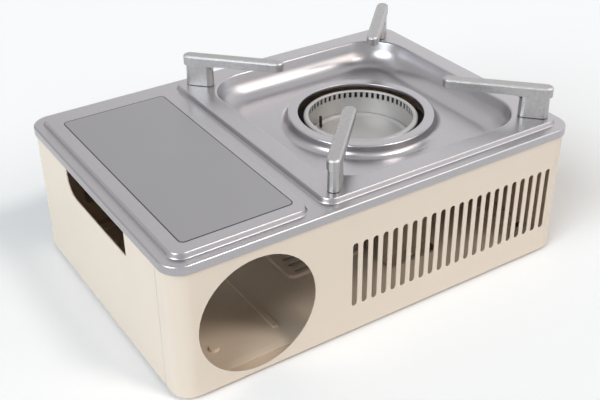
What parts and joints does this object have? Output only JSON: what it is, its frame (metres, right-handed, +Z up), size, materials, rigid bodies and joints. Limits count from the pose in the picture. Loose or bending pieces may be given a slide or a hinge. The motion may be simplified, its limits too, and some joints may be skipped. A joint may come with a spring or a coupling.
{
  "type": "portable gas camp stove",
  "caption": "Compact box-shaped gas camp stove with pressed tray top, ring burner, cast pot supports, vented rear and push-in cartridge bay.",
  "frame": {"origin": "on the floor, under the middle of the bounding box", "axes": "+X towards the cartridge side, -Y towards the control side, +Z up"},
  "size_m": [0.285, 0.216, 0.1161],
  "materials": {
    "cream_enamel": "satin cream enamel on steel sheet",
    "silver_enamel": "satin silver metallic enamel on steel sheet",
    "cast_metal": "bead-blasted die-cast aluminium",
    "plated_steel": "zinc-plated steel",
    "burner_steel": "plain stainless steel",
    "brass": "turned brass",
    "dark_plastic": "fine-grained black plastic",
    "black_rubber": "matt black rubber",
    "white_ceramic": "white glazed ceramic"
  },
  "bodies": {
    "stove": {"front_shell": "cream_enamel", "rear_panel": "cream_enamel", "bottom_pan": "cream_enamel", "foot_1": "black_rubber", "foot_2": "black_rubber", "foot_3": "black_rubber", "foot_4": "black_rubber", "pan_screw_1": "plated_steel", "pan_screw_2": "plated_steel", "pan_screw_3": "plated_steel", "pan_screw_4": "plated_steel", "top_plate": "silver_enamel", "pot_support_1": "cast_metal", "pot_support_2": "cast_metal", "pot_support_3": "cast_metal", "pot_support_4": "cast_metal", "support_screw_1": "plated_steel", "support_screw_2": "plated_steel", "support_screw_3": "plated_steel", "support_screw_4": "plated_steel", "burner_body": "cast_metal", "burner_port_ring": "burner_steel", "burner_bowl": "burner_steel", "burner_bracket": "plated_steel", "bracket_screw_1": "plated_steel", "bracket_screw_2": "plated_steel", "burner_screw_1": "plated_steel", "burner_screw_2": "plated_steel", "mixing_tube": "plated_steel", "gas_nozzle": "brass", "electrode": "burner_steel", "electrode_insulator": "white_ceramic", "igniter_lead": "black_rubber", "regulator_body": "cast_metal", "regulator_cover": "plated_steel", "inlet_seal": "black_rubber", "regulator_bracket": "plated_steel", "regulator_screw_1": "plated_steel", "regulator_screw_2": "plated_steel", "lever_pin": "plated_steel", "control_bezel": "silver_enamel", "piezo_body": "dark_plastic", "heat_shield": "plated_steel", "cartridge_saddle": "plated_steel"},
    "control": {"control_knob": "dark_plastic", "valve_spindle": "brass", "igniter_cam": "dark_plastic"},
    "plunger": {"piezo_plunger": "white_ceramic"},
    "lever": {"lock_lever": "plated_steel", "lever_cap": "dark_plastic"},
    "clamp": {"cartridge_clamp": "plated_steel"}
  },
  "joints": [
    {"name": "knob_turn", "type": "hinge", "parent": "stove", "child": "control", "pos_m": [0.058, -0.0916, 0.0475], "axis": [0, -1, 0], "range_deg": [0, 90]},
    {"name": "plunger_slide", "type": "slide", "parent": "stove", "child": "plunger", "axis": [0, 0, -1], "range_m": [0, 0.004]},
    {"name": "lever_swing", "type": "hinge", "parent": "stove", "child": "lever", "pos_m": [0.0902, -0.0755, 0.0686], "axis": [1, 0, 0], "range_deg": [0, 25]},
    {"name": "clamp_slide", "type": "slide", "parent": "stove", "child": "clamp", "axis": [0, -1, 0], "range_m": [0, 0.00362]}
  ],
  "couplings": [
    {"joint": "plunger_slide", "follows": "knob_turn", "m_per_rad": 0.002546},
    {"joint": "clamp_slide", "follows": "lever_swing", "m_per_rad": 0.00828}
  ]
}
